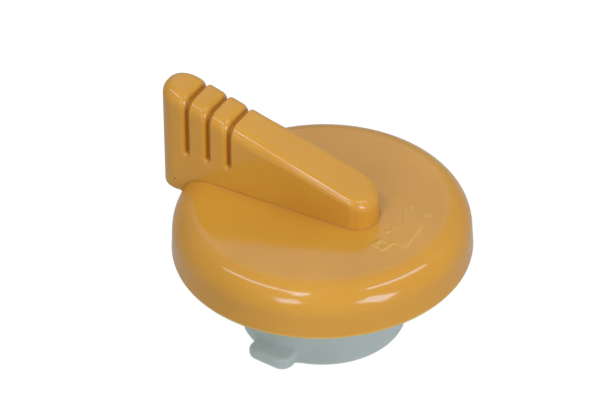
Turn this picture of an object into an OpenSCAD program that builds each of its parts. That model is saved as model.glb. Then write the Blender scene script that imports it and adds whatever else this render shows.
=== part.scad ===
/* [Head] */
// Outer diameter of the skirt at its bottom edge
head_d = 63; // [60:0.5:70]
// Height of the head from the skirt's bottom edge to the flat top
head_h = 10.9; // [10:0.1:14]
// How far the skirt leans in on its way up, on the radius
skirt_lean = 0.3; // [0:0.1:0.8]
// Radius of the big rounded edge round the top
edge_r = 5.8; // [4:0.1:7]
// Wall of the skirt and of the top plate
head_wall = 2.6; // [2:0.1:3]
// Radius of the small round on the skirt's bottom edge
lip_r = 0.5; // [0.2:0.1:0.8]

/* [Handle] */
// Reach of the handle's tall end from the axis
tall_reach = 36.6; // [35:0.1:40]
// Reach of the handle's low end from the axis
low_reach = 13.3; // [11:0.1:16]
// How far the tip of the low end lies off the handle's middle line, towards the front
low_tip = 1.1; // [0:0.1:1.5]
// Width of the handle
handle_w = 10.6; // [9:0.1:12]
// Height of the sloping top above the flat disc, on the axis
ridge_h = 9.9; // [9:0.1:12]
// Angle of the sloping top
slope = 16.7; // [12:0.1:19]
// Radius of the long rounded edges along the top
ridge_r = 2.9; // [1.5:0.1:3.4]
// Radius of the upright corners at the tall end
tall_corner_r = 4.5; // [3.5:0.1:4.6]
// Radius of the domed top of the tall end
dome_r = 3.0; // [3:0.1:4.5]
// How far the underside of the overhang lies below the flat disc
overhang_drop = 4.5; // [3:0.1:5]
// Thickness of the web that carries the skirt up into the handle
web_t = 3.2; // [2.8:0.1:4]
// Wall left round the cores in the handle
handle_wall = 2.2; // [1.8:0.1:2.6]

/* [Grip grooves] */
// Number of grooves across the tall end
groove_count = 3; // [1:1:4]
// Distance from the axis to the groove nearest to it
groove_first = 19; // [17:0.5:21]
// Spacing of the grooves
groove_pitch = 5.0; // [4:0.1:5.2]
// Width of a groove
groove_w = 1.1; // [0.8:0.1:1.6]
// Depth of a groove
groove_depth = 1.1; // [0.6:0.1:1.4]
// Height of the lower end of the grooves above the flat disc
groove_foot = 5.5; // [4:0.1:7]

/* [Oil can sign] */
// How far the sign stands up from the disc
sign_h = 0.25; // [0.1:0.05:0.5]
// Length of the sign from the can's loop to the tip of its spout
sign_w = 16; // [12:0.5:16]
// Distance from the can's base to the edge of the disc's flat top
sign_edge = 2.7; // [2.5:0.1:4]
// Distance from the handle's middle line to the heel of the can
sign_side = 5.3; // [4:0.1:6]
// Turn of the can's base against a line across the handle
sign_turn = 2; // [0:0.5:5]

/* [Plug] */
// Outer diameter of the bayonet plug
plug_d = 35; // [33:0.5:37]
// Wall of the plug
plug_wall = 2.5; // [2:0.1:3]
// How far the plug reaches below the skirt
plug_drop = 18.7; // [15:0.1:22]
// Chamfer on the plug's bottom rim
plug_chamfer = 0.4; // [0.2:0.1:0.8]
// Share of the room between plug and skirt that the flange takes
flange_share = 0.585; // [0.5:0.005:0.62]
// Thickness of the flange
flange_t = 2.2; // [1.8:0.1:2.4]
// Thickness of the plate that closes the plug
ceiling_t = 2.6; // [2.3:0.1:3]

/* [Bayonet lugs] */
// How far a lug stands out from the plug
lug_reach = 4.0; // [3:0.1:5]
// Width of a lug
lug_w = 10; // [8:0.1:12]
// Height of a lug
lug_h = 2.7; // [2:0.1:3.5]
// Radius of the outer corners of a lug
lug_corner_r = 2.6; // [1.5:0.1:3.5]
// Turn of the lugs against the handle
lug_turn = 84; // [70:1:110]
// Slope of the ramp on a lug's upper face
lug_ramp = 9; // [4:1:12]
// Share of a lug's width that the ramp takes
ramp_share = 0.4; // [0.2:0.1:0.6]
// How far a lug's underside lies above the rim that the plug stands on
lug_rise = 0.6; // [0.5:0.1:1]

/* [Snap collar] */
// Wall of the collar that holds the flange
collar_wall = 1.6; // [1.2:0.1:1.8]
// Clearance between the flange and the collar
collar_gap = 0.15; // [0.1:0.05:0.3]
// How far the snap bead stands in under the flange
bead = 0.5; // [0.3:0.1:0.6]
// Height of the snap bead
bead_h = 1.0; // [0.8:0.1:1.4]
// Number of slots that split the collar into fingers
finger_count = 4; // [3:1:6]
// Width of a slot between two fingers
finger_slot = 2.5; // [2:0.1:4]
// Width of the keys that turn the plug with the head
key_w = 3; // [2:0.1:4]
// Depth of the keys
key_depth = 1.4; // [1:0.1:1.8]
// Number of stiffening ribs from each finger to the skirt
finger_ribs = 3; // [1:2:5]
// Thickness of a stiffening rib
rib_t = 1.2; // [1:0.1:1.6]

/* [Seal] */
// Clearance between the sealing ring and the snap bead
seal_room = 0.65; // [0.4:0.05:1.5]
// Thickness of the sealing ring
seal_t = 2.6; // [2:0.1:3]
// Clearance between the sealing ring and the plug
seal_gap = 0.3; // [0.1:0.1:0.5]

/* [Hidden] */
$fn = 128;
eps = 0.01;
// How far the plan view of the handle stands outside the other two, so that no faces coincide
ease = 0.04;
big = 200;

// Heights, from the rim that the plug stands on
skirt_z = plug_drop;
top_z = skirt_z + head_h;
plate_z = top_z - head_wall;
flange_z = plate_z - flange_t;
seal_z = flange_z - seal_t;
foot_z = top_z - overhang_drop;
groove_z = top_z + groove_foot;
collar_z = flange_z - collar_gap - bead_h;

// Radii
skirt_r = head_d / 2;
shoulder_r = skirt_r - skirt_lean;
inner_r = shoulder_r - head_wall;
plug_r = plug_d / 2;
bore_r = plug_r - plug_wall;
flange_r = plug_r + flange_share * (inner_r - plug_r);
collar_r = flange_r + collar_gap;
seal_r = collar_r - bead - seal_room;

// Height of the sloping top at x
function ridge_z(x) = top_z + ridge_h - x * tan(slope);
// Height of the middle of a ball of radius r that touches the sloping top
function ball_z(x, r) = ridge_z(x) - r / cos(slope);

// Side view of the handle: upright ends, sloping top, round corners at both ends of it
module handle_side(wall) {
    low = [low_reach - ridge_r, ball_z(low_reach - ridge_r, ridge_r)];
    tall = [dome_r - tall_reach, ball_z(dome_r - tall_reach, dome_r)];
    up = [sin(slope), cos(slope)];
    polygon([
        [wall - tall_reach, foot_z],
        [low_reach - wall, foot_z],
        [low_reach - wall, low.y],
        low + (ridge_r - wall) * up,
        tall + (dome_r - wall) * up,
        [wall - tall_reach, tall.y]
    ]);
    translate(low) circle(r = ridge_r - wall);
    translate(tall) circle(r = dome_r - wall);
}

// Plan view of the handle: round corners at the tall end, and a low end of two quarter rounds
// that meet at its tip, the one at the back the bigger of the two
module handle_plan(wall) {
    front_r = handle_w / 2 - low_tip;
    back_r = handle_w / 2 + low_tip;
    tall_x = tall_corner_r - tall_reach;
    tall_side = handle_w / 2 - tall_corner_r;
    // straight middle part, as far as the bigger quarter round of the low end
    translate([tall_x, wall - handle_w / 2])
        square([low_reach - back_r - tall_x, handle_w - 2 * wall]);
    // front strip up to the smaller quarter round
    translate([low_reach - back_r - eps, wall - handle_w / 2])
        square([back_r - front_r + eps, front_r - wall + eps]);
    // low end
    translate([low_reach - front_r, -low_tip]) circle(r = front_r - wall);
    intersection() {
        translate([low_reach - back_r, -low_tip]) circle(r = back_r - wall);
        translate([low_reach - back_r - eps, -low_tip]) square([big, big]);
    }
    // tall end
    translate([wall - tall_reach, -tall_side]) square([tall_corner_r, 2 * tall_side]);
    for (side = [-1, 1]) {
        translate([tall_x, side * tall_side]) circle(r = tall_corner_r - wall);
    }
}

// Cross section of the handle, hanging down from the ridge, with round top edges
module handle_cross(wall) {
    flat_w = handle_w / 2 - ridge_r;
    translate([wall - handle_w / 2, -big]) square([handle_w - 2 * wall, big - ridge_r]);
    translate([-flat_w, -big]) square([2 * flat_w, big - wall]);
    for (side = [-1, 1]) {
        translate([side * flat_w, -ridge_r]) circle(r = ridge_r - wall);
    }
}

// The handle's form, drawn in by the same wall on every side but the foot
module handle_form(wall = 0) {
    intersection() {
        intersection() {
            translate([0, 0, ridge_z(0)]) rotate([0, slope, 0]) rotate([90, 0, 90])
                linear_extrude(big, center = true) handle_cross(wall);
            translate([0, 0, foot_z - ease]) linear_extrude(big) handle_plan(wall - ease);
        }
        rotate([90, 0, 0]) linear_extrude(big, center = true) handle_side(wall);
    }
}

// Half section of the disc: flat top, round edge, leaning skirt, round lip
module disc_section() {
    difference() {
        union() {
            translate([0, top_z - edge_r]) square([shoulder_r - edge_r, edge_r]);
            intersection() {
                translate([shoulder_r - edge_r, top_z - edge_r]) circle(r = edge_r);
                translate([0, top_z - edge_r]) square([big, big]);
            }
            polygon([
                [0, skirt_z],
                [skirt_r - lip_r, skirt_z],
                [skirt_r, skirt_z + lip_r],
                [shoulder_r, top_z - edge_r],
                [0, top_z - edge_r]
            ]);
        }
        translate([-big, 0]) square([big, big]);
    }
}

// Half section of the space under the head
module hollow_section() {
    inner_edge = edge_r - head_wall;
    difference() {
        union() {
            translate([0, plate_z - inner_edge]) square([inner_r - inner_edge, inner_edge]);
            translate([inner_r - inner_edge, plate_z - inner_edge]) circle(r = inner_edge);
            translate([0, skirt_z - eps]) square([inner_r, plate_z - inner_edge - skirt_z + eps]);
        }
        translate([-big, 0]) square([big, big]);
    }
}

// The cores that keep the handle's wall even, with the skirt's web left between them
module handle_cores() {
    difference() {
        handle_form(handle_wall);
        translate([-skirt_r, -big / 2, 0]) cube([web_t, big, big]);
    }
}

// Bands that cut the grip grooves into both sides and the top
module grip_grooves() {
    difference() {
        for (i = [0 : groove_count - 1]) {
            translate([-groove_first - i * groove_pitch - groove_w / 2, -big / 2, groove_z])
                cube([groove_w, big, big]);
        }
        handle_form(groove_depth);
    }
}

// Ring with snap fingers, a bead under the flange, keys and stiffening ribs
module snap_collar() {
    difference() {
        rotate_extrude() {
            translate([collar_r, collar_z]) square([collar_wall, plate_z - collar_z + eps]);
            polygon([
                [collar_r + eps, collar_z],
                [collar_r - bead + bead_h / 2, collar_z],
                [collar_r - bead, collar_z + bead_h / 2],
                [collar_r - bead, collar_z + bead_h],
                [collar_r + eps, collar_z + bead_h]
            ]);
        }
        for (i = [0 : finger_count - 1]) {
            rotate((i + 0.5) * 360 / finger_count)
                translate([collar_r - big / 10, -finger_slot / 2, collar_z - eps])
                cube([big / 5, finger_slot, plate_z - collar_z]);
        }
    }
    for (i = [0 : finger_count - 1]) {
        rotate(i * 360 / finger_count)
            translate([collar_r - key_depth, -key_w / 2, flange_z])
            cube([key_depth + collar_wall / 2, key_w, plate_z - flange_z + eps]);
    }
    for (i = [0 : finger_count * finger_ribs - 1]) {
        rotate(i * 360 / finger_count / finger_ribs)
            translate([collar_r + collar_wall / 2, -rib_t / 2, flange_z])
            cube([inner_r - collar_r - collar_wall / 2 + eps, rib_t, plate_z - flange_z + eps]);
    }
}

// Raised sign of an oil can with a drop below its spout, the can's heel at the origin
module oil_can_sign() {
    unit = sign_w / 16;
    loop_at = unit * [-1.2, 4.9];
    drop_at = unit * [12.3, 1.0];
    difference() {
        union() {
            // body and spout
            polygon(unit * [
                [0, 0], [7.3, 0], [8.5, 0.8], [11.6, 4.5], [13.3, 5.1],
                [12.6, 6.5], [6.6, 4.2], [5, 6], [2.6, 5], [0, 3.2]
            ]);
            // lid knob
            translate(unit * [3.1, 4.8]) rotate(25) square(unit * [1.1, 1.1]);
            // loop handle
            translate(loop_at) rotate(55) square(unit * [3.1, 2.4], center = true);
        }
        translate(loop_at) rotate(55) square(unit * [1.7, 1.1], center = true);
    }
    // drop
    translate(drop_at) circle(r = unit * 0.7);
    translate(drop_at) polygon(unit * [[-0.6, 0.3], [0.6, 0.3], [0.2, 1.6]]);
}

// Yellow moulding: disc, skirt and wedge handle in one piece
module head() {
    color("orange") {
        difference() {
            union() {
                rotate_extrude() disc_section();
                handle_form();
            }
            rotate_extrude() hollow_section();
            handle_cores();
            grip_grooves();
        }
        snap_collar();
        translate([shoulder_r - edge_r - sign_edge, -sign_side, top_z - eps]) rotate(90 + sign_turn)
            linear_extrude(sign_h + eps) oil_can_sign();
    }
}

// Outline of one lug, with round outer corners
module lug_outline() {
    reach = plug_r + lug_reach;
    intersection() {
        union() {
            translate([0, -lug_w / 2]) square([reach - lug_corner_r, lug_w]);
            translate([0, lug_corner_r - lug_w / 2]) square([reach, lug_w - 2 * lug_corner_r]);
            for (side = [-1, 1]) {
                translate([reach - lug_corner_r, side * (lug_w / 2 - lug_corner_r)])
                    circle(r = lug_corner_r);
            }
        }
        circle(r = reach);
    }
}

// A lug whose upper face ramps up from its leading end
module lug() {
    ramp_w = lug_w * ramp_share;
    difference() {
        intersection() {
            translate([0, 0, lug_rise]) linear_extrude(2 * lug_h) lug_outline();
            rotate([90, 0, 90]) linear_extrude(big) polygon([
                [-lug_w, 0],
                [lug_w, 0],
                [lug_w, lug_rise + lug_h],
                [ramp_w - lug_w / 2, lug_rise + lug_h],
                [-lug_w / 2, lug_rise + lug_h - ramp_w * tan(lug_ramp)],
                [-lug_w, lug_rise + lug_h - (ramp_w + lug_w / 2) * tan(lug_ramp)]
            ]);
        }
        cylinder(r = bore_r + plug_wall / 2, h = big, center = true);
    }
}

// Natural nylon plug: hollow neck, flange, notches for the keys and two lugs
module bayonet_plug() {
    color("lightgray") {
        difference() {
            union() {
                rotate_extrude() {
                    polygon([
                        [bore_r, 0],
                        [plug_r - plug_chamfer, 0],
                        [plug_r, plug_chamfer],
                        [plug_r, flange_z],
                        [flange_r, flange_z],
                        [flange_r, plate_z],
                        [0, plate_z],
                        [0, plate_z - ceiling_t],
                        [bore_r, plate_z - ceiling_t]
                    ]);
                }
                for (turn = [lug_turn, lug_turn + 180]) {
                    rotate(turn) lug();
                }
            }
            for (i = [0 : finger_count - 1]) {
                rotate(i * 360 / finger_count)
                    translate([collar_r - key_depth - collar_gap, -key_w / 2 - collar_gap, flange_z - eps])
                    cube([big, key_w + 2 * collar_gap, big]);
            }
        }
    }
}

// Flat rubber ring round the neck, under the flange
module sealing_ring() {
    color("dimgray") {
        translate([0, 0, seal_z]) difference() {
            cylinder(r = seal_r, h = seal_t);
            translate([0, 0, -eps]) cylinder(r = plug_r + seal_gap, h = seal_t + 2 * eps);
        }
    }
}

head();
bayonet_plug();
sealing_ring();
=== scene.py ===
import math

import bmesh
import bpy
import numpy as np
from mathutils import Matrix, Vector


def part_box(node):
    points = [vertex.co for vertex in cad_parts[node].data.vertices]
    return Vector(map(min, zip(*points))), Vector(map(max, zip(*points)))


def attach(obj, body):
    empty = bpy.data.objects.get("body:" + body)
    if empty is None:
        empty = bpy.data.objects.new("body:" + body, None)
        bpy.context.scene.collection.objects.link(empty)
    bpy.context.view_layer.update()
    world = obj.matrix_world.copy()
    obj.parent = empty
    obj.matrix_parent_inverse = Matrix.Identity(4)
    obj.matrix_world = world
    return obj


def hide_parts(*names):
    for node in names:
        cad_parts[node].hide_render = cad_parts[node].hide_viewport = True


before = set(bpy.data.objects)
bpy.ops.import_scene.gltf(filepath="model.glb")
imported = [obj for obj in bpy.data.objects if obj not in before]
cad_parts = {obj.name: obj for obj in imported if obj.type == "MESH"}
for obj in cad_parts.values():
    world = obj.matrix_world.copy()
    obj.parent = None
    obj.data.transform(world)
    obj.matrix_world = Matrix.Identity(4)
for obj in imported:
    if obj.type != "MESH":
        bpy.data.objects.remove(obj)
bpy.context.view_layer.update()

MM = 0.001

# Bayonet plug
# A hollow nylon moulding, left in its natural milky colour. Its flange snaps into the head,
# and its two lugs turn under the lip of the engine's filler neck. Such nylon lets some light
# through, which a low glow of its own colour stands in for.
plug_low, plug_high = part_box("bayonet_plug")
plug_top = plug_high.z / MM
plug_r = 17.5
plug_bore = 15.0
plug_ceiling = 2.6
flange_r = (plug_high.x - plug_low.x) / 2 / MM
flange_z = plug_top - 2.2
lug_tip = 21.5
lug_half = 5.2
lug_z = (0.6, 3.3)
lug_turn = math.radians(84.6)
lug_corner = 2.6
lug_root = 16.0
lug_climb = 0.16
lug_level = 1.0
lug_round = 0.7
lug_fillet = 1.0
key_turns = 4
key_half = 1.65
key_floor = 22.6


def round_inside(a, b, r):
    """Distance to what lies in both forms, with a round of radius r where their faces meet."""
    return np.minimum(-r, np.maximum(a, b)) + np.hypot(np.maximum(r + a, 0), np.maximum(r + b, 0))


def round_joined(a, b, r):
    """Distance to two forms joined, with a fillet of radius r in the corner between them."""
    return np.maximum(r, np.minimum(a, b)) - np.hypot(np.maximum(r - a, 0), np.maximum(r - b, 0))


def turned(x, y, angle):
    """The same points, as seen along and across a direction."""
    c, s = math.cos(angle), math.sin(angle)
    return x * c + y * s, y * c - x * s


def folded(x, y, count, offset=0.0):
    """The points turned into one of count like sectors: along and across its middle line."""
    step = 2 * math.pi / count
    angle = np.arctan2(y, x) - offset
    angle = angle - step * np.round(angle / step)
    radius = np.hypot(x, y)
    return radius * np.cos(angle), radius * np.sin(angle)


def steps(*stops):
    """Grid lines from stops of (start, spacing), the last of them (end, None)."""
    lines = []
    for (start, gap), (end, _) in zip(stops, stops[1:]):
        count = max(1, round((end - start) / gap))
        lines.append(np.linspace(start, end, count + 1)[:-1])
    lines.append(np.array([stops[-1][0]]))
    return np.concatenate(lines)


def moulding(name, distance, xs, ys, zs, crease_shade=None):
    """A closed mesh of the surface where distance(x, y, z) is zero, from a grid in millimetres.

    One vertex stands in each grid cell that the surface passes through. It is then drawn onto
    the surface itself, and the shading normals come from the distance too. A crease_shade function
    gives each vertex a value for the material: how much painted shade it gets.
    """
    def at(points):
        return distance(points[:, 0], points[:, 1], points[:, 2])

    def slope(points, h=0.01):
        parts = []
        for axis in range(3):
            move = np.zeros(3)
            move[axis] = h
            parts.append((at(points + move) - at(points - move)) / (2 * h))
        return np.stack(parts, 1)

    grid = np.meshgrid(xs, ys, zs, indexing="ij")
    d = distance(*grid)
    inside = d < 0
    corners = [(i, j, k) for i in (0, 1) for j in (0, 1) for k in (0, 1)]
    shape = np.array(d.shape) - 1
    count = np.zeros(shape, int)
    for i, j, k in corners:
        count += inside[i:shape[0] + i, j:shape[1] + j, k:shape[2] + k]
    cell = np.stack(np.nonzero((count > 0) & (count < 8)), 1)
    number = np.full(shape, -1)
    number[tuple(cell.T)] = np.arange(len(cell))
    total = np.zeros((len(cell), 3))
    crossings = np.zeros(len(cell))
    for a in corners:
        for axis in range(3):
            if a[axis]:
                continue
            b = tuple(1 if n == axis else v for n, v in enumerate(a))
            ia, ib = (cell + a).T, (cell + b).T
            da, db = d[tuple(ia)], d[tuple(ib)]
            cut = (da < 0) != (db < 0)
            t = np.where(cut, da / np.where(cut, da - db, 1), 0)
            pa = np.stack([xs[ia[0]], ys[ia[1]], zs[ia[2]]], 1)
            pb = np.stack([xs[ib[0]], ys[ib[1]], zs[ib[2]]], 1)
            total += np.where(cut[:, None], pa + t[:, None] * (pb - pa), 0)
            crossings += cut
    points = total / crossings[:, None]
    for _ in range(4):
        g = slope(points)
        move = at(points)[:, None] * g / np.maximum((g * g).sum(1), 0.25)[:, None]
        length = np.linalg.norm(move, axis=1)[:, None]
        points = points - move * np.minimum(1, 0.15 / np.maximum(length, 1e-9))
    faces = []
    for axis in range(3):
        u, v = (axis + 1) % 3, (axis + 2) % 3
        first = np.take(inside, range(inside.shape[axis] - 1), axis)
        second = np.take(inside, range(1, inside.shape[axis]), axis)
        for flip, wanted in ((False, first & ~second), (True, ~first & second)):
            edge = np.stack(np.nonzero(wanted), 1)
            ring = []
            for du, dv in ((1, 1), (0, 1), (0, 0), (1, 0)):
                at_cell = edge.copy()
                at_cell[:, u] -= du
                at_cell[:, v] -= dv
                ring.append(number[tuple(at_cell.T)])
            quad = np.stack(ring, 1)
            faces.append(quad[:, ::-1] if flip else quad)
    faces = np.concatenate(faces)
    mesh = bpy.data.meshes.new(name)
    mesh.from_pydata((points * MM).tolist(), [], faces.tolist())
    mesh.validate()
    normals = slope(points)
    normals /= np.maximum(np.linalg.norm(normals, axis=1), 1e-9)[:, None]
    mesh.shade_smooth()
    mesh.normals_split_custom_set_from_vertices(normals.tolist())
    if crease_shade:
        layer = mesh.attributes.new("crease_shade", "FLOAT", "POINT")
        layer.data.foreach_set("value", crease_shade(points[:, 0], points[:, 1], points[:, 2]))
    piece = bpy.data.objects.new(name, mesh)
    bpy.context.scene.collection.objects.link(piece)
    print(name, len(faces) * 2, "triangles")
    return piece


def plug_form(x, y, z):
    """Distance to the plug, negative inside it: neck, flange, lugs, bore and key notches."""
    r = np.hypot(x, y)
    neck = round_inside(r - plug_r, -z, 0.5)
    neck = np.maximum(neck, z - plug_top)
    flange = round_inside(r - flange_r, np.maximum(flange_z - z, z - plug_top), 0.3)
    solid = round_joined(neck, flange, 0.25)
    along, across = turned(x, y, lug_turn)
    across = np.where(along < 0, -across, across)
    along = np.abs(along)
    side_u = along - (lug_tip - lug_corner)
    side_v = np.abs(across) - (lug_half - lug_corner)
    plan = np.hypot(np.maximum(side_u, 0), np.maximum(side_v, 0))
    plan = plan + np.minimum(np.maximum(side_u, side_v), 0) - lug_corner
    ramp = across + lug_level - np.hypot(across + lug_level, 0.6)
    ramp = z - lug_z[1] - lug_climb * ramp / 2
    lug = round_inside(plan, np.maximum(ramp, lug_z[0] - z), lug_round)
    lug = np.maximum(lug, lug_root - along)
    solid = np.maximum(round_joined(solid, lug, lug_fillet), -z)
    bore = round_inside(r - plug_bore, z - (plug_top - plug_ceiling), 1.0)
    solid = round_inside(solid, -bore, 0.4)
    reach, aside = folded(x, y, key_turns)
    notch = np.maximum(np.maximum(np.abs(aside) - key_half, key_floor - reach), flange_z - 0.5 - z)
    return round_inside(solid, -notch, 0.2)


plug = moulding(
    "plug_moulding",
    plug_form,
    steps((-24.6, 0.42), (24.6, None)),
    steps((-24.6, 0.42), (24.6, None)),
    steps((-0.6, 0.3), (4.2, 0.8), (21.0, 0.5), (23.8, 0.3), (27.6, None)),
)
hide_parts("bayonet_plug")
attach(plug, "root")

nylon = bpy.data.materials.new("natural nylon")
nylon.use_nodes = True
nodes, links = nylon.node_tree.nodes, nylon.node_tree.links
shader = nodes["Principled BSDF"]
shader.inputs["Roughness"].default_value = 0.5
shader.inputs["IOR"].default_value = 1.5
shader.inputs["Subsurface Weight"].default_value = 0.8
shader.inputs["Subsurface Radius"].default_value = (1.0, 1.0, 0.9)
shader.inputs["Subsurface Scale"].default_value = 0.006
shader.inputs["Emission Strength"].default_value = 0.7
place = nodes.new("ShaderNodeTexCoord")
cloud = nodes.new("ShaderNodeTexNoise")
cloud.inputs["Scale"].default_value = 90
cloud.inputs["Detail"].default_value = 3
tint = nodes.new("ShaderNodeValToRGB")
tint.color_ramp.elements[0].color = (0.207, 0.245, 0.233, 1)
tint.color_ramp.elements[1].color = (0.239, 0.280, 0.281, 1)
tint.color_ramp.elements[0].position = 0.3
tint.color_ramp.elements[1].position = 0.7
grain = nodes.new("ShaderNodeTexNoise")
grain.inputs["Scale"].default_value = 1800
bump = nodes.new("ShaderNodeBump")
bump.inputs["Strength"].default_value = 0.08
bump.inputs["Distance"].default_value = 0.0001
links.new(place.outputs["Object"], cloud.inputs["Vector"])
links.new(place.outputs["Object"], grain.inputs["Vector"])
links.new(cloud.outputs["Fac"], tint.inputs["Fac"])
links.new(tint.outputs["Color"], shader.inputs["Base Color"])
links.new(tint.outputs["Color"], shader.inputs["Emission Color"])
links.new(grain.outputs["Fac"], bump.inputs["Height"])
links.new(bump.outputs["Normal"], shader.inputs["Normal"])
plug.data.materials.append(nylon)

# Sealing ring
# A flat ring of oil-proof rubber, moulded, slipped over the neck until it lies under the
# flange. The engine's filler neck presses against its lower face.
seal_low, seal_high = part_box("sealing_ring")
seal_outer = (seal_high.x - seal_low.x) / 2
seal_inner = 17.8 * MM
seal_round = 0.3 * MM
section = []
for cx, cz, start in (
    (seal_outer, seal_high.z, 0),
    (seal_inner, seal_high.z, 90),
    (seal_inner, seal_low.z, 180),
    (seal_outer, seal_low.z, 270),
):
    mid_x = cx - seal_round if cx == seal_outer else cx + seal_round
    mid_z = cz - seal_round if cz == seal_high.z else cz + seal_round
    for step in range(5):
        angle = math.radians(start + step * 22.5)
        section.append((mid_x + seal_round * math.cos(angle), mid_z + seal_round * math.sin(angle)))
ring_mesh = bpy.data.meshes.new("seal")
around = 144
rows = []
bm = bmesh.new()
for turn in range(around):
    angle = 2 * math.pi * turn / around
    c, s = math.cos(angle), math.sin(angle)
    rows.append([bm.verts.new((r * c, r * s, z)) for r, z in section])
for row, following in zip(rows, rows[1:] + rows[:1]):
    for a, b in zip(range(len(section)), list(range(1, len(section))) + [0]):
        bm.faces.new((row[a], following[a], following[b], row[b]))
bmesh.ops.recalc_face_normals(bm, faces=bm.faces)
bm.to_mesh(ring_mesh)
bm.free()
ring_mesh.shade_smooth()
seal = bpy.data.objects.new("seal", ring_mesh)
bpy.context.scene.collection.objects.link(seal)
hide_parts("sealing_ring")
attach(seal, "root")

rubber = bpy.data.materials.new("black rubber")
rubber.use_nodes = True
nodes, links = rubber.node_tree.nodes, rubber.node_tree.links
shader = nodes["Principled BSDF"]
shader.inputs["Specular IOR Level"].default_value = 0.35
place = nodes.new("ShaderNodeTexCoord")
skin = nodes.new("ShaderNodeTexNoise")
skin.inputs["Scale"].default_value = 900
skin.inputs["Detail"].default_value = 4
shade = nodes.new("ShaderNodeValToRGB")
shade.color_ramp.elements[0].color = (0.012, 0.012, 0.013, 1)
shade.color_ramp.elements[1].color = (0.035, 0.035, 0.036, 1)
dull = nodes.new("ShaderNodeMapRange")
dull.inputs["To Min"].default_value = 0.5
dull.inputs["To Max"].default_value = 0.72
bump = nodes.new("ShaderNodeBump")
bump.inputs["Strength"].default_value = 0.25
bump.inputs["Distance"].default_value = 0.0001
links.new(place.outputs["Object"], skin.inputs["Vector"])
links.new(skin.outputs["Fac"], shade.inputs["Fac"])
links.new(skin.outputs["Fac"], dull.inputs["Value"])
links.new(skin.outputs["Fac"], bump.inputs["Height"])
links.new(shade.outputs["Color"], shader.inputs["Base Color"])
links.new(dull.outputs["Result"], shader.inputs["Roughness"])
links.new(bump.outputs["Normal"], shader.inputs["Normal"])
seal.data.materials.append(rubber)

# Head
# One injection moulding in glossy yellow plastic: a disc with a short skirt, and a wedge
# handle that runs over the rim and overhangs it. Its wall is even, so the underside is
# hollow, with cores in the handle and a split collar that the plug snaps into.
head_low, head_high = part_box("head")
skirt_z = head_low.z / MM
skirt_r = head_high.x / MM
skirt_lean = 0.3 / 5.1
disc_z = skirt_z + 10.9
edge_r = 5.8
lip_round = 0.45
wall = 2.6
plate_z = disc_z - wall
inner_r = 28.6
tall_x = head_low.x / MM
tall_corner = 4.6
low_x = 13.3
low_tip = 1.1
handle_half = 5.5
handle_draft = 0.03
ridge_z = disc_z + 9.9
slope_angle = math.radians(16.7)
ridge_round = 2.7
tall_fuller = 0.4
low_tighter = 0.8
foot_fillet = 0.25
foot_z = disc_z - 4.5
core_wall = 2.2
web = (-31.5, -28.3)
groove_xs = (-19.0, -24.0, -29.0)
groove_half = 0.5
groove_depth = 1.15
groove_z = disc_z + 5.5
collar = (24.15, 25.75)
collar_z = 23.65
bead_in = 23.65
bead_r = 0.5
finger_count = 4
finger_gap = 1.25
key_wide = 1.5
key_in = 1.4
rib_count = 12
rib_half = 0.6


def eased(t):
    """A soft step from 0 to 1."""
    t = np.clip(t, 0, 1)
    return t * t * (3 - 2 * t)


def handle_form(x, y, z):
    """Distance to the whole wedge handle: its plan, and the sloping ridge with round edges."""
    lean = handle_draft * (z - disc_z)
    right, half = low_x - lean * 0.5, handle_half - lean
    dx = tall_x + tall_corner - x
    dy = np.abs(y) - (half - tall_corner)
    tall = np.hypot(np.maximum(dx, 0), np.maximum(dy, 0)) + np.minimum(np.maximum(dx, dy), 0) - tall_corner
    low_r = np.where(y < -low_tip, half - low_tip, half + low_tip)
    low = np.hypot(np.maximum(x - right + low_r, 0), y + low_tip) - low_r
    plan = np.where(x < -10, tall, low)
    over = (z - ridge_z + x * math.tan(slope_angle)) * math.cos(slope_angle)
    top_round = ridge_round + tall_fuller * eased((-30.5 - x) / 4) - low_tighter * eased((x + 16) / 12)
    return round_inside(plan, over, top_round)


def disc_form(x, y, z):
    """Distance to the disc and its skirt, with the big round edge."""
    side = (np.hypot(x, y) - skirt_r + skirt_lean * (z - skirt_z)) / math.hypot(1, skirt_lean)
    return round_inside(side, z - disc_z, edge_r)


def crease_shade_amount(x, y, z):
    """How much painted shade a place gets, in the crease at the handle's foot or deep in one of the
    grooves.
    """
    deep = handle_form(x, y, z)
    foot = 1 - eased(np.maximum(np.abs(disc_form(x, y, z)), np.abs(deep)) / 0.5)
    groove = eased((-deep - 0.2) / 0.8) * (z > groove_z - 1)
    return np.maximum(0.7 * foot, 0.6 * groove)


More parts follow.
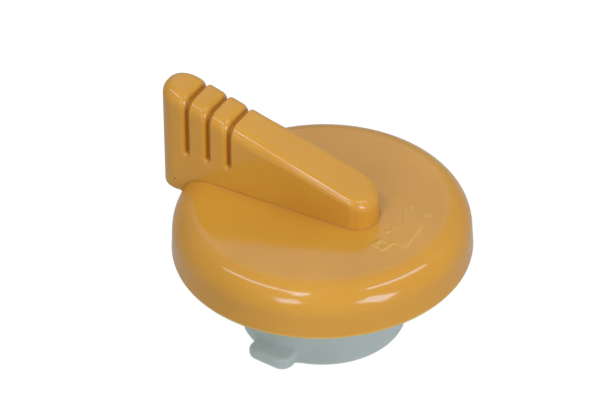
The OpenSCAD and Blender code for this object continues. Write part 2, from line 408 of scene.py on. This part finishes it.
def head_form(x, y, z):
    """Distance to the head: disc, handle, cores, grooves, and the collar, keys and ribs below."""
    r = np.hypot(x, y)
    disc = round_inside(disc_form(x, y, z), skirt_z - z, lip_round)
    hollow = round_inside(r - inner_r, z - plate_z, edge_r - wall)
    handle = handle_form(x, y, z)
    bar = round_inside(handle, foot_z - z, 0.5)
    bar = np.maximum(bar, -hollow)
    solid = round_joined(disc, bar, foot_fillet)
    solid = round_inside(solid, -hollow, 0.3)
    core = np.maximum(handle + core_wall, np.minimum(x - web[0], web[1] - x))
    solid = round_inside(solid, -core, 0.25)
    for groove_x in groove_xs:
        band = np.abs(x - groove_x) - groove_half
        cut = round_inside(band, -(handle + groove_depth), 0.3)
        cut = round_inside(cut, groove_z - z, 0.3)
        edge = 0.35 + 0.85 * eased((groove_x + 0.3 - x) / 0.6)
        solid = round_inside(solid, -cut, edge)
    ring = np.maximum(np.maximum(collar[0] - r, r - collar[1]), np.maximum(collar_z - z, z - plate_z - 0.5))
    bead = np.hypot(np.maximum(collar[0] - r, 0), z - collar_z - bead_r) - bead_r
    bead = np.maximum(bead, r - collar[0] - bead_r)
    ring = round_inside(np.minimum(ring, bead), np.maximum(collar_z - z, bead_in - r), 0.15)
    along, across = folded(x, y, finger_count, math.pi / finger_count)
    gap = np.maximum(np.abs(across) - finger_gap, z - plate_z + 0.3)
    ring = round_inside(ring, -gap, 0.15)
    along, across = folded(x, y, finger_count)
    key = np.maximum(collar[0] - key_in - along, along - collar[0] - 0.8)
    key = np.maximum(np.abs(across) - key_wide, key)
    key = np.maximum(key, np.maximum(flange_z - z, z - plate_z - 0.5))
    along, across = folded(x, y, rib_count)
    rib = np.maximum(collar[0] + 0.8 - along, along - inner_r - 0.5)
    rib = np.maximum(np.abs(across) - rib_half, rib)
    rib = np.maximum(rib, np.maximum(flange_z - z, z - plate_z - 0.5))
    under = np.minimum(np.minimum(ring, key), rib)
    return round_joined(solid, under, 0.25)


head = moulding(
    "head_moulding",
    head_form,
    steps((-37.8, 0.28), (-18.0, 0.4), (7.0, 0.28), (14.4, 0.62), (25.0, 0.48), (32.1, None)),
    steps((-32.1, 0.62), (-6.0, 0.28), (6.0, 0.62), (32.1, None)),
    steps((18.2, 0.3), (19.6, 0.65), (23.2, 0.5), (29.2, 0.2), (30.4, 0.37), (50.2, None)),
    crease_shade_amount,
)
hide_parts("head")
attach(head, "root")

# Oil-can sign
# The common sign for engine oil, a can with a drop, stands up a fifth of a millimetre from
# the disc. It is cut into the mould, so it is the head's own plastic, with soft edges.
sign_heel = (22.7, -5.3)
sign_turn = math.radians(92)
sign_h = 0.2
sign_soft = 0.5
sign_sink = 0.004
sign_step = 0.13
edge_light = 0.28
can_line = [
    (0, 0), (7.3, 0), (8.5, 0.8), (11.6, 4.5), (13.3, 5.1),
    (12.6, 6.5), (6.6, 4.2), (5, 6), (4.2, 5.7), (3.8, 6.4), (2.7, 5.9), (3.0, 5.2), (2.6, 5), (0, 3.2),
]
loop_mid = (-1.2, 4.9)
drop_line = [(12.0 + 0.95 * math.cos(a), 0.8 + 0.95 * math.sin(a)) for a in np.linspace(-3.6, 0.5, 9)]
drop_line.append((12.9, 2.9))


def loop_square(width, height):
    """One outline of the can's square grip, which stands askew behind it."""
    turn = math.radians(73)
    c, s = math.cos(turn), math.sin(turn)
    corners = [(-width, -height), (width, -height), (width, height), (-width, height)]
    return [(loop_mid[0] + (u * c - v * s) / 2, loop_mid[1] + (u * s + v * c) / 2) for u, v in corners]


def inside_by(u, v, outline):
    """How far points lie inside a closed outline, negative outside it."""
    near = np.full(u.shape, 99.0)
    inside = np.zeros(u.shape, bool)
    for (au, av), (bu, bv) in zip(outline, outline[1:] + outline[:1]):
        du, dv = bu - au, bv - av
        t = np.clip(((u - au) * du + (v - av) * dv) / (du * du + dv * dv), 0, 1)
        near = np.minimum(near, np.hypot(u - au - t * du, v - av - t * dv))
        if dv:
            inside ^= ((av > v) != (bv > v)) & (u < au + (v - av) * du / dv)
    return np.where(inside, near, -near)


def sign_height(u, v):
    """How far the sign stands up at points along and across it."""
    loop = np.minimum(inside_by(u, v, loop_square(3.3, 3.1)), -inside_by(u, v, loop_square(1.5, 1.5)))
    whole = np.maximum(np.maximum(inside_by(u, v, can_line), inside_by(u, v, drop_line)), loop)
    return sign_h * eased(whole / sign_soft + 0.5)


sign_u, sign_v = np.meshgrid(
    np.arange(-4.6, 14.6, sign_step),
    np.arange(-1.2, 8.6, sign_step),
    indexing="ij",
)
height = sign_height(sign_u, sign_v)
slope_u = (sign_height(sign_u + 0.02, sign_v) - sign_height(sign_u - 0.02, sign_v)) / 0.04
slope_v = (sign_height(sign_u, sign_v + 0.02) - sign_height(sign_u, sign_v - 0.02)) / 0.04
place_of = np.arange(height.size).reshape(height.shape)
quads = np.stack([place_of[:-1, :-1], place_of[1:, :-1], place_of[1:, 1:], place_of[:-1, 1:]], -1)
quads = quads.reshape(-1, 4)
quads = quads[height.ravel()[quads].max(1) > 0.002]
used, quads = np.unique(quads, return_inverse=True)
c, s = math.cos(sign_turn), math.sin(sign_turn)
flat_u, flat_v, rise_u, rise_v = (a.ravel()[used] for a in (sign_u, sign_v, slope_u, slope_v))
sign_points = np.stack([
    sign_heel[0] + flat_u * c - flat_v * s,
    sign_heel[1] + flat_u * s + flat_v * c,
    disc_z - sign_sink + height.ravel()[used],
], 1)
sign_normals = np.stack([rise_v * s - rise_u * c, -rise_u * s - rise_v * c, np.ones(len(used))], 1)
sign_normals /= np.linalg.norm(sign_normals, axis=1)[:, None]
sign_mesh = bpy.data.meshes.new("oil_can_sign")
sign_mesh.from_pydata((sign_points * MM).tolist(), [], quads.reshape(-1, 4).tolist())
sign_mesh.shade_smooth()
sign_mesh.normals_split_custom_set_from_vertices(sign_normals.tolist())
# Painted highlight: the sign's sloping edges get a lighter colour, more where they are steeper, up to
# edge_light.
sign_highlight_layer = sign_mesh.attributes.new("sign_edge_highlight", "FLOAT", "POINT")
steepness = np.hypot(rise_u, rise_v) * sign_soft / sign_h / 1.5
sign_highlight_layer.data.foreach_set("value", edge_light * np.clip(steepness, 0, 1))
sign = bpy.data.objects.new("oil_can_sign", sign_mesh)
bpy.context.scene.collection.objects.link(sign)
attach(sign, "root")

plastic = bpy.data.materials.new("glossy yellow plastic")
plastic.use_nodes = True
nodes, links = plastic.node_tree.nodes, plastic.node_tree.links
shader = nodes["Principled BSDF"]
shader.inputs["IOR"].default_value = 1.52
shader.inputs["Specular Tint"].default_value = (0.45, 0.72, 1.0, 1)
shader.inputs["Subsurface Weight"].default_value = 0.12
shader.inputs["Subsurface Radius"].default_value = (1.0, 0.6, 0.25)
shader.inputs["Subsurface Scale"].default_value = 0.0015
place = nodes.new("ShaderNodeTexCoord")
cloud = nodes.new("ShaderNodeTexNoise")
cloud.inputs["Scale"].default_value = 45
cloud.inputs["Detail"].default_value = 2
tint = nodes.new("ShaderNodeValToRGB")
tint.color_ramp.elements[0].color = (0.594, 0.288, 0.034, 1)
tint.color_ramp.elements[1].color = (0.653, 0.329, 0.042, 1)
tint.color_ramp.elements[0].position = 0.3
tint.color_ramp.elements[1].position = 0.7
haze = nodes.new("ShaderNodeTexNoise")
haze.inputs["Scale"].default_value = 260
haze.inputs["Detail"].default_value = 5
gloss = nodes.new("ShaderNodeMapRange")
gloss.inputs["To Min"].default_value = 0.10
gloss.inputs["To Max"].default_value = 0.17
wave = nodes.new("ShaderNodeTexNoise")
wave.inputs["Scale"].default_value = 120
wave.inputs["Detail"].default_value = 1
bump = nodes.new("ShaderNodeBump")
bump.inputs["Strength"].default_value = 0.06
bump.inputs["Distance"].default_value = 0.0002
crease_shade_node = nodes.new("ShaderNodeAttribute")
crease_shade_node.attribute_name = "crease_shade"
edge_highlight_node = nodes.new("ShaderNodeAttribute")
edge_highlight_node.attribute_name = "sign_edge_highlight"
highlight_mask = nodes.new("ShaderNodeMath")
highlight_mask.operation = "MAXIMUM"
# Painted shade: the colour is mixed toward a dark red-brown in the crease at the handle's foot and deep in
# the grooves, by the crease_shade value; dim also lowers the reflections there.
shaded = nodes.new("ShaderNodeMix")
shaded.data_type = "RGBA"
shaded.inputs["B"].default_value = (0.40, 0.13, 0.012, 1)
speck = nodes.new("ShaderNodeVectorMath")
speck.operation = "DISTANCE"
speck.inputs[1].default_value = (-32.2 * MM, -5.5 * MM, (skirt_z + 9.3) * MM)
dark = nodes.new("ShaderNodeMapRange")
dark.inputs["From Min"].default_value = 0.12 * MM
dark.inputs["From Max"].default_value = 0.26 * MM
dark.inputs["To Min"].default_value = 0.85
dark.inputs["To Max"].default_value = 0.0
marked = nodes.new("ShaderNodeMix")
marked.data_type = "RGBA"
marked.inputs["B"].default_value = (0.03, 0.015, 0.01, 1)
dim = nodes.new("ShaderNodeMapRange")
dim.inputs["To Min"].default_value = 0.5
dim.inputs["To Max"].default_value = 0.1
height_of = nodes.new("ShaderNodeSeparateXYZ")
# Painted highlight: near the skirt's outer edge, just above its bottom lip, the colour is mixed toward a
# pale yellow.
lip = nodes.new("ShaderNodeMapRange")
lip.interpolation_type = "SMOOTHSTEP"
lip.inputs["From Min"].default_value = (skirt_z + 0.2) * MM
lip.inputs["From Max"].default_value = (skirt_z + 0.75) * MM
lip.inputs["To Min"].default_value = 0.9
lip.inputs["To Max"].default_value = 0.0
flat = nodes.new("ShaderNodeVectorMath")
flat.operation = "MULTIPLY"
flat.inputs[1].default_value = (1, 1, 0)
from_axis = nodes.new("ShaderNodeVectorMath")
from_axis.operation = "LENGTH"
outer = nodes.new("ShaderNodeMapRange")
outer.inputs["From Min"].default_value = (skirt_r - 0.6) * MM
outer.inputs["From Max"].default_value = (skirt_r - 0.2) * MM
lip_highlight = nodes.new("ShaderNodeMath")
lip_highlight.operation = "MULTIPLY"
# Painted highlight: lit mixes the colour toward a pale yellow on the skirt's bottom lip and on the sign's
# soft edges.
lit = nodes.new("ShaderNodeMix")
lit.data_type = "RGBA"
lit.inputs["B"].default_value = (0.74, 0.60, 0.22, 1)
for texture in (cloud, haze, wave):
    links.new(place.outputs["Object"], texture.inputs["Vector"])
links.new(cloud.outputs["Fac"], tint.inputs["Fac"])
links.new(place.outputs["Object"], height_of.inputs["Vector"])
links.new(height_of.outputs["Z"], lip.inputs["Value"])
links.new(place.outputs["Object"], flat.inputs[0])
links.new(flat.outputs["Vector"], from_axis.inputs[0])
links.new(from_axis.outputs["Value"], outer.inputs["Value"])
links.new(lip.outputs["Result"], lip_highlight.inputs[0])
links.new(outer.outputs["Result"], lip_highlight.inputs[1])
links.new(lip_highlight.outputs["Value"], highlight_mask.inputs[0])
links.new(edge_highlight_node.outputs["Fac"], highlight_mask.inputs[1])
links.new(highlight_mask.outputs["Value"], lit.inputs["Factor"])
links.new(tint.outputs["Color"], lit.inputs["A"])
links.new(lit.outputs["Result"], shaded.inputs["A"])
links.new(crease_shade_node.outputs["Fac"], shaded.inputs["Factor"])
links.new(place.outputs["Object"], speck.inputs[0])
links.new(speck.outputs["Value"], dark.inputs["Value"])
links.new(dark.outputs["Result"], marked.inputs["Factor"])
links.new(shaded.outputs["Result"], marked.inputs["A"])
links.new(marked.outputs["Result"], shader.inputs["Base Color"])
links.new(crease_shade_node.outputs["Fac"], dim.inputs["Value"])
links.new(dim.outputs["Result"], shader.inputs["Specular IOR Level"])
links.new(haze.outputs["Fac"], gloss.inputs["Value"])
links.new(gloss.outputs["Result"], shader.inputs["Roughness"])
links.new(wave.outputs["Fac"], bump.inputs["Height"])
links.new(bump.outputs["Normal"], shader.inputs["Normal"])
for piece in (head, sign):
    piece.data.materials.clear()
    piece.data.materials.append(plastic)

# Floor, light and camera
# A white sheet under the cap, in a pale studio with a cooler window wall behind. Long lamps
# and soft boxes stand to the left and right, two wide ones fill in, and a long lens looks
# down from the front.
floor_mesh = bpy.data.meshes.new("floor")
reach = 3.0
corners = [(-reach, -reach, 0), (reach, -reach, 0), (reach, reach, 0), (-reach, reach, 0)]
floor_mesh.from_pydata(corners, [], [(0, 1, 2, 3)])
floor = bpy.data.objects.new("floor", floor_mesh)
bpy.context.scene.collection.objects.link(floor)
floor.location.z = -0.02 * MM
sheet = bpy.data.materials.new("white sheet")
sheet.use_nodes = True
nodes, links = sheet.node_tree.nodes, sheet.node_tree.links
shader = nodes["Principled BSDF"]
shader.inputs["Base Color"].default_value = (0.28, 0.28, 0.28, 1)
shader.inputs["Roughness"].default_value = 0.9
glow = nodes.new("ShaderNodeEmission")
glow.inputs["Strength"].default_value = 1.15
path = nodes.new("ShaderNodeLightPath")
part = nodes.new("ShaderNodeMath")
part.operation = "MULTIPLY_ADD"
part.inputs[1].default_value = 0.60
part.inputs[2].default_value = 0.25
mix = nodes.new("ShaderNodeMixShader")
links.new(path.outputs["Is Camera Ray"], part.inputs[0])
links.new(part.outputs["Value"], mix.inputs["Fac"])
links.new(shader.outputs["BSDF"], mix.inputs[1])
links.new(glow.outputs["Emission"], mix.inputs[2])
links.new(mix.outputs["Shader"], nodes["Material Output"].inputs["Surface"])
floor.data.materials.append(sheet)

world = bpy.data.worlds.new("studio")
bpy.context.scene.world = world
world.use_nodes = True
nodes, links = world.node_tree.nodes, world.node_tree.links
room = nodes["Background"]
way = nodes.new("ShaderNodeTexCoord")
toward = nodes.new("ShaderNodeVectorMath")
toward.operation = "DOT_PRODUCT"
toward.inputs[1].default_value = (-0.38, 0.64, 0.67)
window_wall = nodes.new("ShaderNodeMapRange")
window_wall.interpolation_type = "SMOOTHSTEP"
window_wall.inputs["From Min"].default_value = 0.86
window_wall.inputs["From Max"].default_value = 0.99
daylight = nodes.new("ShaderNodeMix")
daylight.data_type = "RGBA"
daylight.inputs["A"].default_value = (0.80, 0.80, 0.82, 1)
daylight.inputs["B"].default_value = (0.56, 0.75, 1.0, 1)
brighter = nodes.new("ShaderNodeMath")
brighter.operation = "MULTIPLY_ADD"
brighter.inputs[1].default_value = 0.55
brighter.inputs[2].default_value = 0.46
links.new(way.outputs["Generated"], toward.inputs[0])
links.new(toward.outputs["Value"], window_wall.inputs["Value"])
links.new(window_wall.outputs["Result"], daylight.inputs["Factor"])
links.new(window_wall.outputs["Result"], brighter.inputs[0])
links.new(daylight.outputs["Result"], room.inputs["Color"])
links.new(brighter.outputs["Value"], room.inputs["Strength"])
white = nodes.new("ShaderNodeBackground")
white.inputs["Color"].default_value = (1, 1, 1, 1)
path = nodes.new("ShaderNodeLightPath")
mix = nodes.new("ShaderNodeMixShader")
links.new(path.outputs["Is Camera Ray"], mix.inputs["Fac"])
links.new(room.outputs["Background"], mix.inputs[1])
links.new(white.outputs["Background"], mix.inputs[2])
links.new(mix.outputs["Shader"], nodes["World Output"].inputs["Surface"])

azimuth, elevation, roll = (math.radians(a) for a in (30.3, 37.65, 1.33))
right = Vector((math.cos(azimuth), math.sin(azimuth), 0))
back = Vector((
    math.sin(azimuth) * math.cos(elevation),
    -math.cos(azimuth) * math.cos(elevation),
    math.sin(elevation),
))
up = back.cross(right)
rolled_right = right * math.cos(roll) - up * math.sin(roll)
rolled_up = up * math.cos(roll) + right * math.sin(roll)

target = Vector((0, 0, skirt_z * MM))


def seen(r, u, b):
    """A direction given along the view's right, up and back."""
    return (right * r + up * u + back * b).normalized()


def soft_box(name, first, last, width, glow, distance=0.6, mirrored=True):
    """A rectangular lamp that reaches from one direction to another, as seen from the cap."""
    way = (first + last).normalized()
    along = last - first
    along = (along - way * along.dot(way)).normalized()
    across = way.cross(along)
    light = bpy.data.lights.new(name, "AREA")
    light.shape = "RECTANGLE"
    light.size = 2 * distance * math.tan(first.angle(last) / 2)
    light.size_y = width
    light.energy = glow * math.pi * light.size * light.size_y
    lamp = bpy.data.objects.new(name, light)
    middle = target + way * distance
    lamp.matrix_world = Matrix((
        (along.x, across.x, way.x, middle.x),
        (along.y, across.y, way.y, middle.y),
        (along.z, across.z, way.z, middle.z),
        (0, 0, 0, 1),
    ))
    lamp.visible_glossy = mirrored
    bpy.context.scene.collection.objects.link(lamp)


soft_box("left_strip", seen(-0.66, 0.66, 0.36), seen(-0.18, 0.42, 0.89), 0.046, 8)
soft_box("left_window", seen(-0.50, -0.08, 0.86), seen(-0.26, -0.04, 0.96), 0.15, 7)
soft_box("ridge_box", seen(-0.26, 0.30, 0.92), seen(-0.14, 0.50, 0.85), 0.07, 8)
soft_box("right_strip", seen(0.36, 0.47, 0.81), seen(0.76, 0.54, 0.36), 0.06, 8.5)
soft_box("right_window", seen(0.42, -0.10, 0.90), seen(0.72, -0.27, 0.64), 0.18, 7.6)
soft_box("front_fill", seen(0.25, -0.15, 0.95), seen(0.75, -0.15, 0.64), 0.35, 0.9, 0.9, False)
soft_box("top_fill", seen(-0.20, 0.75, 0.62), seen(0.20, 0.75, 0.62), 0.5, 1.0, 0.9, False)

camera = bpy.data.objects.new("camera", bpy.data.cameras.new("camera"))
bpy.context.scene.collection.objects.link(camera)
bpy.context.scene.camera = camera
lens_distance = 0.76
pixels_per_mm = 4.79
photo_middle = (300, 200)
skirt_pixel = (322.4, 243.1)
aside = (skirt_pixel[0] - photo_middle[0]) / pixels_per_mm * MM
below = (skirt_pixel[1] - photo_middle[1]) / pixels_per_mm * MM
spot = target + back * lens_distance - rolled_right * aside + rolled_up * below
camera.matrix_world = Matrix((
    (rolled_right.x, rolled_up.x, back.x, spot.x),
    (rolled_right.y, rolled_up.y, back.y, spot.y),
    (rolled_right.z, rolled_up.z, back.z, spot.z),
    (0, 0, 0, 1),
))
camera.data.sensor_width = 36
camera.data.lens = lens_distance / MM * pixels_per_mm * camera.data.sensor_width / 600
camera.data.clip_start = 0.01

scene = bpy.context.scene
scene.view_settings.view_transform = "Standard"
